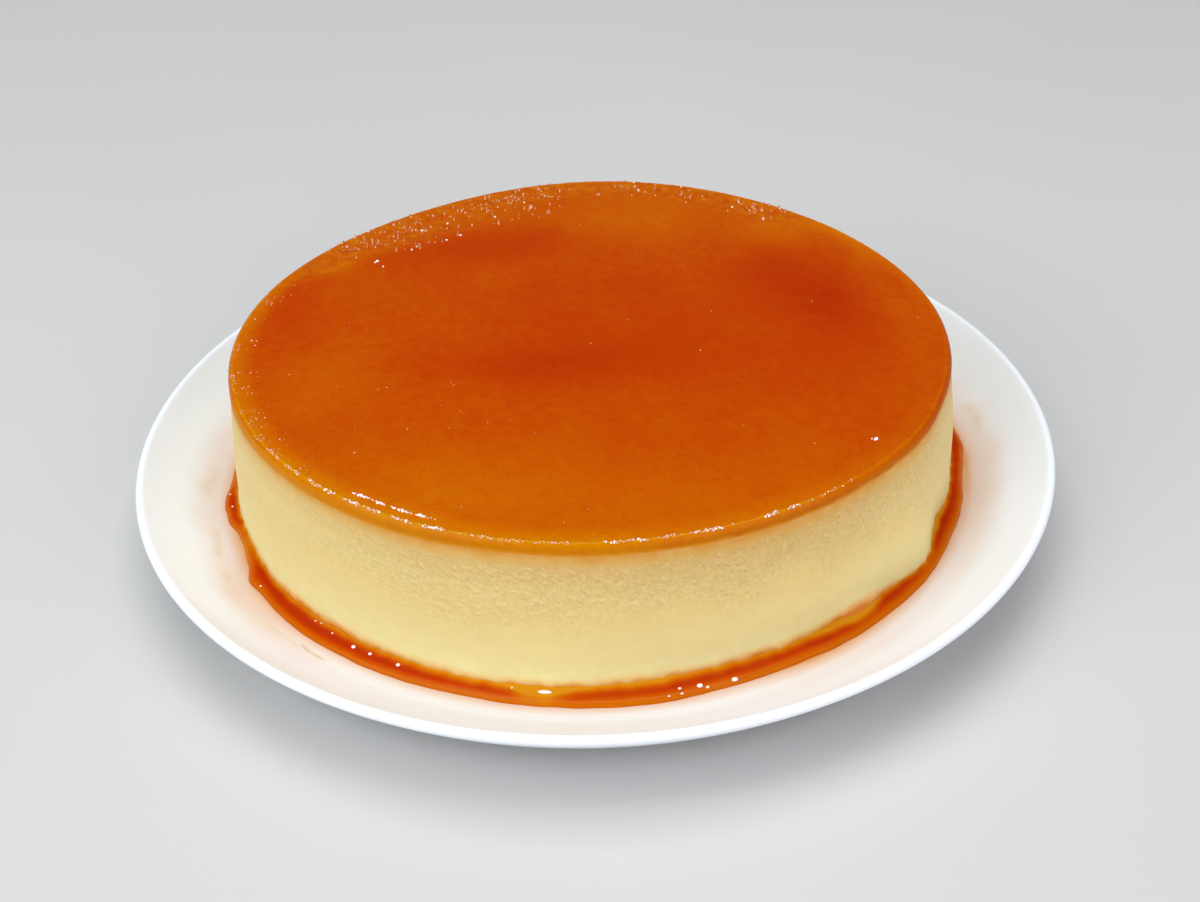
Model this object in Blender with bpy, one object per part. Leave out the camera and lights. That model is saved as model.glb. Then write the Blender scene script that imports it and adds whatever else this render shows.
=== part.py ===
"""A creme caramel flan turned out on its dinner plate. Metres, +Z up.

The plate stands on its foot ring at z = 0, centred on the Z axis. The flan stands in the
plate's flat middle, with its caramel side up, in a shallow pool of its own syrup. -Y is the
front, and directions round the flan are in degrees from +X.
"""

import math

import bpy

# Driving dimensions of the plate.
PLATE_RADIUS = 0.1325
FLOOR_RADIUS = 0.110  # the flat middle
FLOOR_HEIGHT = 0.009  # its top, above the table
RIM_RISE = 0.0134  # from the flat middle up to the rim
RIM_LEAN = math.radians(44)  # slope where the rise meets the rounded lip
FLOOR_THICKNESS = 0.005
RIM_THICKNESS = 0.0028
FOOT_RING_OUTSIDE = 0.080
FOOT_RING_INSIDE = 0.074
FOOT_RING_EDGE = 0.0008  # how far its lower edges are eased

# The rise stops where the lip, half round, just reaches the plate's radius. Its power is over
# 1, so it starts level and is steepest at the lip.
RISE_END = PLATE_RADIUS - RIM_THICKNESS / 2 * (1 + math.sin(RIM_LEAN))
RISE_POWER = math.tan(RIM_LEAN) * (RISE_END - FLOOR_RADIUS) / RIM_RISE

# Driving dimensions of the flan.
FLAN_HEIGHT = 0.045
CARAMEL_DEPTH = 0.004
CARAMEL_EDGE = 0.0021  # radius of its rounded upper edge
FOOT_EDGE = 0.0012  # how far the custard's lower edge turns in
WALL_CURVE = 1.5  # power of the wall's lean: over 1 keeps its lower half upright
POOL_DEPTH = 0.0024
POOL_LIP = 0.0004  # thickness of the pool's thin outer edge
GAP = 0.0003  # between pieces that touch

# Mean radius of each outline, and its swells: direction, spread on each side, and how far
# out the outline is pushed there.
TOP_RADIUS = 0.100
TOP_SWELLS = (
    (180, 35, 0.0017),
    (-108, 28, -0.0005),
    (-30, 35, 0.0011),
    (35, 30, -0.0018),
    (88, 24, 0.0017),
    (125, 22, -0.0014),
)
FOOT_RADIUS = 0.102
FOOT_SWELLS = (
    (180, 35, 0.0028),
    (-120, 25, -0.0015),
    (-75, 22, -0.0035),
    (-50, 12, -0.0014),
    (-34, 6, 0.0026),
    (-22, 7, -0.0016),
    (0, 28, 0.0034),
)
POOL_RADIUS = 0.1075
POOL_SWELLS = (
    (180, 30, 0.0014),
    (-160, 6, -0.0022),
    (-135, 18, 0.0008),
    (-68, 14, -0.0014),
    (5, 22, 0.0033),
)

# How finely the round shapes are divided.
STEPS_AROUND = 96
STEPS_UP_RIM = 8
STEPS_UP_WALL = 8
STEPS_ROUND_EDGE = 4
STEPS_ACROSS_POOL = 6


def clear_scene():
    for obj in list(bpy.data.objects):
        bpy.data.objects.remove(obj, do_unlink=True)


def material(name, colour, roughness):
    made = bpy.data.materials.new(name)
    made.use_nodes = True
    shader = made.node_tree.nodes["Principled BSDF"]
    shader.inputs["Base Color"].default_value = (*colour, 1)
    shader.inputs["Roughness"].default_value = roughness
    shader.inputs["Metallic"].default_value = 0
    return made


def swollen(radius, swells, degrees):
    """The radius in one direction, with each swell pushed out or in."""
    for centre, spread, out in swells:
        away = (degrees - centre + 180) % 360 - 180
        radius += out * math.exp(-((away / spread) ** 2))
    return radius


def top_radius(degrees):
    return swollen(TOP_RADIUS, TOP_SWELLS, degrees)


def foot_radius(degrees):
    return swollen(FOOT_RADIUS, FOOT_SWELLS, degrees)


def pool_radius(degrees):
    return swollen(POOL_RADIUS, POOL_SWELLS, degrees)


def wall_radius(degrees, up):
    """The custard's wall. up is 0 at the plate and 1 at the flan's top."""
    lean = up**WALL_CURVE
    return foot_radius(degrees) * (1 - lean) + top_radius(degrees) * lean


def plate_height(radius):
    """The plate's upper surface."""
    past = max(0, (radius - FLOOR_RADIUS) / (RISE_END - FLOOR_RADIUS))
    return FLOOR_HEIGHT + RIM_RISE * past**RISE_POWER


def ring_of(place):
    """One ring of points round the Z axis. place(degrees) gives (radius, height)."""
    points = []
    for step in range(STEPS_AROUND):
        degrees = 360 * step / STEPS_AROUND
        radius, height = place(degrees)
        turn = math.radians(degrees)
        points.append((radius * math.cos(turn), radius * math.sin(turn), height))
    return points


def skin(name, rings, look, joined=False):
    """A closed body over the rings, which go up its outside.

    Joined, the last ring meets the first, as in a hoop. Otherwise both ends are filled.
    """
    count = len(rings)
    points = [point for ring in rings for point in ring]
    bands = [(i, (i + 1) % count) for i in range(count if joined else count - 1)]
    faces = []
    for low, high in bands:
        for step in range(STEPS_AROUND):
            beside = (step + 1) % STEPS_AROUND
            faces.append(
                (
                    low * STEPS_AROUND + step,
                    low * STEPS_AROUND + beside,
                    high * STEPS_AROUND + beside,
                    high * STEPS_AROUND + step,
                )
            )
    if not joined:
        last = (count - 1) * STEPS_AROUND
        faces.append(tuple(reversed(range(STEPS_AROUND))))
        faces.append(tuple(range(last, last + STEPS_AROUND)))
    mesh = bpy.data.meshes.new(name)
    mesh.from_pydata(points, [], faces)
    mesh.materials.append(look)
    mesh.shade_smooth()
    mesh.set_sharp_from_angle(angle=math.radians(40))
    made = bpy.data.objects.new(name, mesh)
    bpy.context.scene.collection.objects.link(made)
    return made


def plate_profile():
    """(radius, height) of half the plate's section, from its middle, over the rim and under."""
    upper = [(0.0, FLOOR_HEIGHT)]
    lower = []
    for step in range(STEPS_UP_RIM + 1):
        share = step / STEPS_UP_RIM
        radius = FLOOR_RADIUS + (RISE_END - FLOOR_RADIUS) * share
        height = plate_height(radius)
        lean = math.atan(math.tan(RIM_LEAN) * share ** (RISE_POWER - 1))
        thick = FLOOR_THICKNESS + (RIM_THICKNESS - FLOOR_THICKNESS) * share
        upper.append((radius, height))
        lower.append((radius + thick * math.sin(lean), height - thick * math.cos(lean)))
    lip = RIM_THICKNESS / 2
    middle_radius = RISE_END + lip * math.sin(RIM_LEAN)
    middle_height = FLOOR_HEIGHT + RIM_RISE - lip * math.cos(RIM_LEAN)
    rounded = []
    for step in range(1, STEPS_ROUND_EDGE):
        turn = RIM_LEAN + math.pi / 2 - math.pi * step / STEPS_ROUND_EDGE
        rounded.append(
            (middle_radius + lip * math.cos(turn), middle_height + lip * math.sin(turn))
        )
    base = FLOOR_HEIGHT - FLOOR_THICKNESS
    foot = [
        (FOOT_RING_OUTSIDE + FOOT_RING_EDGE, base),
        (FOOT_RING_OUTSIDE, FOOT_RING_EDGE),
        (FOOT_RING_OUTSIDE - FOOT_RING_EDGE, 0.0),
        (FOOT_RING_INSIDE + FOOT_RING_EDGE, 0.0),
        (FOOT_RING_INSIDE, FOOT_RING_EDGE),
        (FOOT_RING_INSIDE - FOOT_RING_EDGE, base),
        (0.0, base),
    ]
    return upper + rounded + lower[::-1] + foot


def make_plate():
    """The profile turned round the Z axis."""
    points = [(radius, 0.0, height) for radius, height in plate_profile()]
    edges = [(i, i + 1) for i in range(len(points) - 1)]
    mesh = bpy.data.meshes.new("plate")
    mesh.from_pydata(points, edges, [])
    mesh.materials.append(material("white_glaze", (0.82, 0.81, 0.80), 0.18))
    plate = bpy.data.objects.new("plate", mesh)
    bpy.context.scene.collection.objects.link(plate)
    turned = plate.modifiers.new("turned", "SCREW")
    turned.steps = turned.render_steps = STEPS_AROUND
    turned.use_merge_vertices = True
    turned.merge_threshold = 0.00001
    turned.use_smooth_shade = True


def wall_ring(height, turned_in=0.0):
    """A ring of the flan's wall, moved in towards the axis by turned_in."""
    up = (height - FLOOR_HEIGHT) / FLAN_HEIGHT
    return ring_of(lambda degrees: (wall_radius(degrees, up) - turned_in, height))


def make_custard():
    """The cooked custard, up to where the caramel starts."""
    bottom = FLOOR_HEIGHT + GAP
    top = FLOOR_HEIGHT + FLAN_HEIGHT - CARAMEL_DEPTH - GAP
    rings = [wall_ring(bottom, FOOT_EDGE)]
    wall_start = bottom + FOOT_EDGE
    for step in range(STEPS_UP_WALL + 1):
        rings.append(wall_ring(wall_start + (top - wall_start) * step / STEPS_UP_WALL))
    skin("custard", rings, material("baked_custard", (0.78, 0.60, 0.26), 0.45))


def make_caramel_top():
    """The layer of set caramel over the whole top, rounded at its upper edge."""
    top = FLOOR_HEIGHT + FLAN_HEIGHT
    edge_low = top - CARAMEL_EDGE
    rings = [wall_ring(top - CARAMEL_DEPTH)]
    for step in range(STEPS_ROUND_EDGE + 1):
        turn = math.pi / 2 * step / STEPS_ROUND_EDGE
        turned_in = CARAMEL_EDGE * (1 - math.cos(turn))
        rings.append(wall_ring(edge_low + CARAMEL_EDGE * math.sin(turn), turned_in))
    skin("caramel_top", rings, material("caramel", (0.56, 0.12, 0.004), 0.1))


def pool_ring(share, swell=0.0, thick=0.0):
    """A ring of the pool, share of the way out from the custard to the pool's outline.

    It lies on the plate, raised by thick and then by swell of the way up to the pool's level.
    """
    foot_up = (GAP + FOOT_EDGE) / FLAN_HEIGHT
    level = FLOOR_HEIGHT + POOL_DEPTH

    def place(degrees):
        start = wall_radius(degrees, foot_up) + GAP
        radius = start + (pool_radius(degrees) - start) * share
        bed = plate_height(radius) + GAP + thick
        return radius, bed + (level - bed) * swell

    return ring_of(place)


def make_caramel_pool():
    """The syrup that lies round the custard's foot, with a rounded outer edge."""
    rings = [pool_ring(0), pool_ring(1)]
    for step in range(STEPS_ACROSS_POOL + 1):
        turn = math.pi / 2 * step / STEPS_ACROSS_POOL
        rings.append(pool_ring(math.cos(turn), math.sin(turn), POOL_LIP))
    skin("caramel_pool", rings, material("syrup", (0.45, 0.06, 0.002), 0.08), joined=True)


clear_scene()
make_plate()
make_custard()
make_caramel_top()
make_caramel_pool()
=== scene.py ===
# %% [markdown]
# # A creme caramel flan on its plate
#
# A flan is baked upside down: syrup is poured into a round pan, egg custard goes on top, and
# the whole is turned out on a plate. The syrup has by then stained and glazed what is now the
# top, and what was still liquid runs down to lie as a pool round the foot.
#
# So there are four things to make: a glazed plate, a block of custard, a layer of caramel on
# top of it, and the pool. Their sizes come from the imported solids. This script gives each one
# the surface that the solids are too coarse to hold.

import math

import bpy
import numpy as np
from mathutils import Matrix, Vector, noise
from mathutils.bvhtree import BVHTree


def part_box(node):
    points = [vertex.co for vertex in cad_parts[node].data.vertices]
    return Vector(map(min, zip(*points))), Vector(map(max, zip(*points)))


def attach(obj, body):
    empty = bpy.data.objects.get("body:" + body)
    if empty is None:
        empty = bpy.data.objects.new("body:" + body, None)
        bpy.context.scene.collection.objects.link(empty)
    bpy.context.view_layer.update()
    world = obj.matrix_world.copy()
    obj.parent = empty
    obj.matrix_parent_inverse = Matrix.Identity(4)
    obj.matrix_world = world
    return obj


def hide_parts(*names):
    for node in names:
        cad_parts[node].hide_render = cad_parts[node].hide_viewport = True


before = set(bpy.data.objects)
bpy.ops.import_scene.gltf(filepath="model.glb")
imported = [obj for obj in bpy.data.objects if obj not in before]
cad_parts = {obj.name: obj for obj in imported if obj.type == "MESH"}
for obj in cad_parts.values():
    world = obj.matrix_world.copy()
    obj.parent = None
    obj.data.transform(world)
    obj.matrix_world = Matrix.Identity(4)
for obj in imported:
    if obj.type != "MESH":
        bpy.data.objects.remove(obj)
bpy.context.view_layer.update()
print("solids:", sorted(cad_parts))

# %% [markdown]
# ## Reading sizes from the solids
#
# Every detailed piece has to lie where its solid lies. The solids could be scaled copies of
# numbers typed in here, but then two files would have to agree. Rays cast at the solids give
# the same answer and can't go out of date. One ray is aimed at the Z axis from outside, at a
# chosen height, and where it hits is the radius there.

# %% Measure a solid with rays
MM = 0.001
AROUND_SAMPLES = 96


def tree_of(node):
    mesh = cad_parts[node].data
    points = [vertex.co.copy() for vertex in mesh.vertices]
    return BVHTree.FromPolygons(points, [tuple(face.vertices) for face in mesh.polygons])


trees = {name: tree_of(name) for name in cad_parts}


def radius_at(node, turn, height, outside=0.3):
    """How far the solid reaches from the Z axis, in the direction turn (radians).

    The ray starts outside metres from the axis, which is beyond every solid.
    """
    out = Vector((math.cos(turn), math.sin(turn), 0))
    start = out * outside + Vector((0, 0, height))
    hit = trees[node].ray_cast(start, -out)[0]
    return math.hypot(hit.x, hit.y)


plate_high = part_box("plate")[1]
custard_low, custard_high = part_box("custard")
top_low, top_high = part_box("caramel_top")
pool_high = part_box("caramel_pool")[1]
GAP = top_low.z - custard_high.z
plate_radius = plate_high.x
floor_height = custard_low.z - GAP
flan_top = top_high.z
print(f"plate radius {plate_radius / MM:.1f} mm, floor at {floor_height / MM:.1f} mm")
print(f"flan top at {flan_top / MM:.1f} mm, gap between pieces {GAP / MM:.2f} mm")

# %% [markdown]
# The solids have flat facets, 96 of them round each ring. A finer mesh laid over facets would
# still show them in its highlights. Each outline is periodic, so it can be rebuilt as a sum of
# smooth waves: a Fourier transform of the 96 samples, read back at as many points as wanted.

# %% Outlines as smooth waves
WAVES = 30


def smooth_outline(radii, count):
    """The same closed outline read at count even steps, as a sum of its WAVES slowest waves."""
    waves = np.fft.rfft(radii) / len(radii)
    turns = np.linspace(0, 2 * math.pi, count, endpoint=False)
    out = np.full(count, waves[0].real)
    for k in range(1, WAVES):
        out += 2 * (waves[k].real * np.cos(k * turns) - waves[k].imag * np.sin(k * turns))
    return out


def outline(node, height, count):
    """The solid's radius at count even steps round the Z axis, starting at +X."""
    turns = [2 * math.pi * i / AROUND_SAMPLES for i in range(AROUND_SAMPLES)]
    return smooth_outline(np.array([radius_at(node, t, height) for t in turns]), count)


middle_height = (custard_low.z + custard_high.z) / 2
wall = outline("custard", middle_height, 360)
print(f"custard wall is {wall.min() / MM:.1f} to {wall.max() / MM:.1f} mm from the axis")

# %% [markdown]
# ## Camera
#
# The flan is seen from the front and about a third of the way up, through a 50 mm lens, close
# enough that its far side looks clearly smaller. The picture is tipped a little, which is done
# last by turning the camera about its own line of sight.

# %% Place the camera
CAMERA_RISE = math.radians(34.2)
CAMERA_TIP = math.radians(-2.0)
CAMERA_REACH = 3.745 * plate_radius
aim = Vector((1.6 * MM, -0.8 * MM, floor_height + 4.5 * MM))

camera = bpy.data.objects.new("camera", bpy.data.cameras.new("camera"))
camera.data.lens = 50
camera.data.sensor_width = 36
bpy.context.scene.collection.objects.link(camera)
back = Vector((0, -math.cos(CAMERA_RISE), math.sin(CAMERA_RISE)))
turn_to_aim = (-back).to_track_quat("-Z", "Y").to_matrix().to_4x4()
tip = Matrix.Rotation(CAMERA_TIP, 4, "Z")
camera.matrix_world = Matrix.Translation(aim + back * CAMERA_REACH) @ turn_to_aim @ tip
bpy.context.scene.camera = camera
print(f"camera {CAMERA_REACH:.3f} m away")

# %% [markdown]
# ## Light
#
# Caramel is a mirror with a strong colour of its own. If a bright surface stood behind the
# flan, its level top would reflect it and turn milky. So the softboxes hang to the left, in
# front and overhead, the sky is dim, and nothing bright stands at the back.

# %% Hang the softboxes


def softbox(name, size, place, power, colour=(0.96, 0.985, 1.0)):
    """A square area light that faces the middle of the flan. size and place are in metres."""
    lamp = bpy.data.lights.new(name, "AREA")
    lamp.size = size
    lamp.energy = power
    lamp.color = colour
    made = bpy.data.objects.new(name, lamp)
    bpy.context.scene.collection.objects.link(made)
    made.location = place
    to_flan = Vector((0, 0, middle_height)) - made.location
    made.rotation_euler = to_flan.to_track_quat("-Z", "Y").to_euler()


softbox("key_left", 1.5, (-1.25, -0.85, 1.05), 24)
softbox("fill_front", 1.8, (1.2, -1.25, 0.85), 21.2, (1.0, 0.965, 0.985))
softbox("overhead", 1.5, (0.0, 0.2, 1.7), 22.5)

world = bpy.data.worlds.new("dim_room")
world.use_nodes = True
sky = world.node_tree.nodes["Background"]
sky.inputs["Color"].default_value = (0.95, 0.98, 1, 1)
sky.inputs["Strength"].default_value = 0.10
bpy.context.scene.world = world
bpy.context.scene.view_settings.view_transform = "Standard"
print("three softboxes and a dim room")

# %% [markdown]
# ## Mesh helpers
#
# All of the round pieces are stacks of rings: a row of points round the Z axis, then the next
# row a little further along the section. Neighbouring rows are joined by four-sided faces. It
# is the same idea as turning on a lathe, but each point can be moved on its own before the
# faces are made, which a Screw modifier doesn't allow.

# %% Build a mesh from rings
SHARP_ANGLE = math.radians(60)  # faces that meet at more than this keep a hard edge


def ring_points(radii, heights, turns=None):
    """Points round the Z axis, from their radii and heights."""
    if turns is None:
        turns = np.linspace(0, 2 * math.pi, len(radii), endpoint=False)
    heights = np.broadcast_to(heights, radii.shape)
    return np.stack([radii * np.cos(turns), radii * np.sin(turns), heights], axis=1)


def mesh_from_rings(name, rings, close_first=False, close_last=False, hoop=False):
    """A smooth piece over a stack of rings. Its rings go up the outside or inwards on top."""
    count = len(rings[0])
    points = np.concatenate(rings)
    step = np.arange(count)
    beside = (step + 1) % count
    quads = []
    pairs = [(i, i + 1) for i in range(len(rings) - 1)]
    if hoop:
        pairs.append((len(rings) - 1, 0))
    for low, high in pairs:
        below, above = low * count, high * count
        corners = (below + step, below + beside, above + beside, above + step)
        quads.append(np.stack(corners, axis=1))
    faces = np.concatenate(quads).tolist()
    if close_first:
        faces.append(list(range(count))[::-1])
    if close_last:
        last = (len(rings) - 1) * count
        faces.append(list(range(last, last + count)))
    mesh = bpy.data.meshes.new(name)
    mesh.from_pydata(points.tolist(), [], faces)
    mesh.shade_smooth()
    mesh.set_sharp_from_angle(angle=SHARP_ANGLE)
    made = bpy.data.objects.new(name, mesh)
    bpy.context.scene.collection.objects.link(made)
    print(f"{name}: {len(points)} points, {len(faces)} faces")
    return made


def store(piece, name, values):
    """Keeps one number for each point of a piece, for its material to read."""
    layer = piece.data.attributes.new(name, "FLOAT", "POINT")
    layer.data.foreach_set("value", np.asarray(values, np.float32))


def place_piece(piece, slot, look, *nodes):
    """Gives a piece its material and body, and says which solids it stands for."""
    piece.data.materials.append(look)
    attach(piece, "root")
    if nodes:
        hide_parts(*nodes)
    print(f"{piece.name}: slot {slot}, stands for {', '.join(nodes) or 'no solid'}")


# %% [markdown]
# ## Material helpers
#
# A material here is one Principled shader with textures plugged into its colour, roughness and
# normal. These helpers keep that wiring short, so that each material below reads as a recipe.

# %% Read a colour


def colour_of(hex_code):
    """A screen colour such as "d6ba73" as the linear numbers that shaders use."""
    parts = [int(hex_code[i : i + 2], 16) / 255 for i in (0, 2, 4)]
    return tuple(c / 12.92 if c <= 0.04045 else ((c + 0.055) / 1.055) ** 2.4 for c in parts)


print("mid grey as shaders see it:", [round(c, 3) for c in colour_of("808080")])

# %% Wire up a material


class Recipe:
    """One Principled material, with short calls to add the textures that feed it."""

    def __init__(self, name, **sockets):
        self.material = bpy.data.materials.new(name)
        self.material.use_nodes = True
        self.tree = self.material.node_tree
        self.shader = self.tree.nodes["Principled BSDF"]
        for socket, value in sockets.items():
            self.shader.inputs[socket.replace("_", " ")].default_value = value

    def add(self, kind, **settings):
        node = self.tree.nodes.new(kind)
        for key, value in settings.items():
            setattr(node, key, value)
        return node

    def link(self, source, target):
        self.tree.links.new(source, target)

    def feed(self, source, socket):
        self.link(source, self.shader.inputs[socket])

    def put(self, value, socket):
        """Plugs in what another node gives, or sets a number, a screen colour or a linear one."""
        if isinstance(value, (int, float)):
            socket.default_value = value
        elif isinstance(value, str):
            socket.default_value = (*colour_of(value), 1)
        elif isinstance(value, tuple):
            socket.default_value = (*value, 1)
        else:
            self.link(value, socket)

    def place(self):
        return self.add("ShaderNodeTexCoord").outputs["Object"]

    def stored(self, name, output="Fac"):
        return self.add("ShaderNodeAttribute", attribute_name=name).outputs[output]

    def cloud(self, size, detail=3.0, where=None, rough=0.5):
        """Soft noise from 0 to 1, with patches of about size metres."""
        node = self.add("ShaderNodeTexNoise")
        node.inputs["Scale"].default_value = 1 / size
        node.inputs["Detail"].default_value = detail
        node.inputs["Roughness"].default_value = rough
        self.link(where or self.place(), node.inputs["Vector"])
        return node.outputs["Fac"]

    def cell(self, size, where):
        """The distance to the nearest of many scattered dots, which lie about size metres apart."""
        node = self.add("ShaderNodeTexVoronoi")
        node.inputs["Scale"].default_value = 1 / size
        self.link(where, node.inputs["Vector"])
        return node.outputs["Distance"]

    def span(self, value, low, high, to_low=0.0, to_high=1.0):
        """Stretches low..high to to_low..to_high, and stops at both ends."""
        node = self.add("ShaderNodeMapRange", clamp=True)
        for socket, number in zip(range(1, 5), (low, high, to_low, to_high)):
            node.inputs[socket].default_value = number
        self.link(value, node.inputs[0])
        return node.outputs[0]

    def math(self, operation, a, b):
        node = self.add("ShaderNodeMath", operation=operation)
        for socket, value in zip(node.inputs, (a, b)):
            self.put(value, socket)
        return node.outputs[0]

    def ramp(self, value, stops):
        """A colour for each share: stops are (share, screen colour)."""
        node = self.add("ShaderNodeValToRGB")
        band = node.color_ramp
        while len(band.elements) < len(stops):
            band.elements.new(0.5)
        for element, (share, colour) in zip(band.elements, stops):
            element.position = share
            element.color = (*colour_of(colour), 1)
        self.link(value, node.inputs["Fac"])
        return node.outputs["Color"]

    def mix(self, share, first, second):
        """The first colour at share 0, the second at share 1."""
        node = self.add("ShaderNodeMix", data_type="RGBA")
        for place, value in zip((0, 6, 7), (share, first, second)):
            self.put(value, node.inputs[place])
        return node.outputs[2]

    def bump(self, value, height, after=None):
        """Relief of up to height metres. It can be laid over an earlier bump."""
        node = self.add("ShaderNodeBump")
        node.inputs["Strength"].default_value = 1
        node.inputs["Distance"].default_value = height
        self.link(value, node.inputs["Height"])
        if after:
            self.link(after, node.inputs["Normal"])
        return node.outputs["Normal"]

# %% [markdown]
# ## The plate
#
# White glazed stoneware with no marked brim: a flat middle that curves up into a gently rising
# side. The solid already has the right section, but its facets would show in the glaze. So the
# section is read back with rays, smoothed where the real one is a curve, and turned again with
# many more steps. The lip is a true half circle.

# %% Read the plate's section
PLATE_AROUND = 600
FLAT_ROWS = 56
LIP_ROWS = 14
LIP = 1.4 * MM  # the radius of the lip's half circle
LIP_LEAN = math.radians(44)
# Where the upper face and then the lower face is read, in shares of the plate's radius.
UPPER_SHARES = (0.83, 0.85, 0.87, 0.89, 0.91, 0.93, 0.95, 0.965, 0.98)
LOWER_SHARES = (0.985, 0.96, 0.93, 0.90, 0.87, 0.84, 0.80, 0.70) + (
    (0.612, 0.6, 0.595, 0.563, 0.555, 0.55)  # the foot ring, in closer steps
)


def plate_height_at(share, from_below=False):
    """The height of the plate's upper or lower face, at a share of its radius."""
    side = -1 if from_below else 1
    start = Vector((share * plate_radius, 0.1 * MM, side))
    return trees["plate"].ray_cast(start, Vector((0, 0, -side)))[0].z


def smooth_through(points, steps=6):
    """A smooth curve through the points, with steps pieces between each two (Catmull-Rom)."""
    points = np.array(points)
    ends = np.concatenate([[2 * points[0] - points[1]], points, [2 * points[-1] - points[-2]]])
    curve = []
    for a, b, c, d in zip(ends, ends[1:], ends[2:], ends[3:]):
        for t in np.linspace(0, 1, steps, endpoint=False):
            bend = 2 * a - 5 * b + 4 * c - d
            twist = 3 * b - a - 3 * c + d
            curve.append((2 * b + (c - a) * t + bend * t * t + twist * t**3) / 2)
    return np.array(curve + [points[-1]])


floor_radius = UPPER_SHARES[0] * plate_radius
rise = [(s * plate_radius, plate_height_at(s)) for s in UPPER_SHARES]
level = [(r, floor_height) for r in np.linspace(2 * MM, floor_radius - 4 * MM, FLAT_ROWS)]
lip_turns = np.linspace(math.pi / 2 + LIP_LEAN, LIP_LEAN - math.pi / 2, LIP_ROWS)[1:-1]
lip_middle = np.array([plate_radius - LIP, plate_high.z - LIP])
lip = lip_middle + LIP * np.stack([np.cos(lip_turns), np.sin(lip_turns)], axis=1)
under = [(s * plate_radius, plate_height_at(s, True)) for s in LOWER_SHARES]
section = np.concatenate([level, smooth_through(rise), lip, under])
print(f"plate section: {len(section)} points, rim at {plate_high.z / MM:.1f} mm")

# %% [markdown]
# Nothing on food is quite even. What swells, sags or fades below does so by a few functions:
# noise, a smooth step, a bell-shaped fade, and swells round the axis. A sculpted mesh could
# hold the same shapes, but a function can be read and changed.

# %% Noise, steps, fades and swells


def ripple(points, size, seed=0):
    """Smooth noise from -1 to 1 at each point, with swells about size metres across."""
    shift = Vector((seed * 7.3, seed * 3.1, seed * 5.7))
    return np.array([noise.noise(Vector(point) / size + shift) for point in points])


def turn_gap(degrees, centre):
    """How many degrees lie between two directions, from -180 to 180."""
    return (degrees - centre + 180) % 360 - 180


def soft_step(value, low, high):
    """0 below low, 1 above high, and a smooth slope between."""
    share = np.clip((value - low) / (high - low), 0, 1)
    return share * share * (3 - 2 * share)


def fade(distance, reach):
    """1 at no distance, about a third at reach, and nearly nothing at twice that."""
    return np.exp(-((distance / reach) ** 2))


def swollen(degrees, swells):
    """The sum of some swells, each (direction, spread, size), in every direction asked for."""
    total = np.zeros(np.shape(degrees))
    for centre, spread, size in swells:
        total += size * fade(turn_gap(degrees, centre), spread)
    return total


example = swollen(np.array([0, 10, 20]), ((0, 10, 1),))
print("a swell of size 1 and spread 10, at 0, 10 and 20 degrees:", example.round(2))

# %% [markdown]
# Some syrup ran further than the pool and was wiped or dried: faint yellow streaks outside the
# pool, mostly at the left. They are far too thin to be solids of their own. Each is a short arc
# on the plate, stored as a number from 0 to 1 at every point, and the glaze's recipe tints it.

# %% Turn the plate and mark its streaks
# Each streak: from and to (degrees), distance from the axis and width (mm), and strength.
STREAKS = (
    (-142, -133, 112.6, 0.8, 0.35),
    (-135, -129, 111.2, 0.5, 0.90),
    (-166, -158, 113.0, 1.4, 0.45),
    (178, 187, 114.5, 1.6, 0.30),
    (-155, -152, 114.0, 1.2, 0.35),
    (2, 12, 117.0, 1.2, 0.30),
)

rings = [ring_points(np.full(PLATE_AROUND, radius), height) for radius, height in section]
plate = mesh_from_rings("dinner_plate", rings, close_first=True, close_last=True)
plate_points = np.concatenate(rings)
plate_degrees = np.degrees(np.arctan2(plate_points[:, 1], plate_points[:, 0]))
plate_reach = np.hypot(plate_points[:, 0], plate_points[:, 1])
on_face = plate_points[:, 2] > floor_height - MM
streaks = np.zeros(len(plate_points))
wander = 1.2 * MM * ripple(plate_points, 9 * MM, 1)
for start, end, reach, width, strength in STREAKS:
    middle, half = (start + end) / 2, (end - start) / 2
    along = 1 - soft_step(np.abs(turn_gap(plate_degrees, middle)), 0.5 * half, half)
    across = fade(plate_reach + wander - reach * MM, width * MM)
    streaks = np.maximum(streaks, strength * along * across)
streaks *= on_face * (0.6 + 0.4 * ripple(plate_points, 3 * MM, 2))
store(plate, "streaks", streaks)
print(f"{(streaks > 0.1).sum()} points of the plate lie in a streak")

# %% [markdown]
# Next to the pool a film of syrup stains the plate: a narrow fringe in front, wide and pale at
# the right and left. The wide warm tint at the right and left is also painted reflection: it
# stands for the flan mirrored in the glaze. Only its tint can be seen, not its thickness, so it
# is one more stored number, which fades with the distance from the pool's outline.

# %% Stain the plate next to the pool
POOL_SLICE = floor_height + GAP + 0.3 * MM  # the height at which the pool's outline is read
EDGE_INSET = 0.7 * MM  # how far the visible pool's edge stays inside that outline
FRINGE_FADE = 1.6  # mm
MOST_STAIN_AND_REFLECTION = 0.44
# Each wide tint: direction, spread, and strength. Those at -12 and 175 degrees, at the right
# and left, are painted reflection of the flan in the glaze.
WIDE_STAINS_AND_REFLECTIONS = ((-12, 27, 0.31), (175, 35, 0.30), (-146, 13, 0.36), (-56, 13, 0.20), (60, 50, 0.25))

rim_of_pool = outline("caramel_pool", POOL_SLICE, PLATE_AROUND)
past_pool = (plate_reach - np.tile(rim_of_pool, len(rings)) + EDGE_INSET) / MM
fringe = 0.8 + swollen(plate_degrees, ((-45, 25, 0.15),))
fringe *= np.exp(-np.maximum(past_pool, 0) / FRINGE_FADE)
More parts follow.
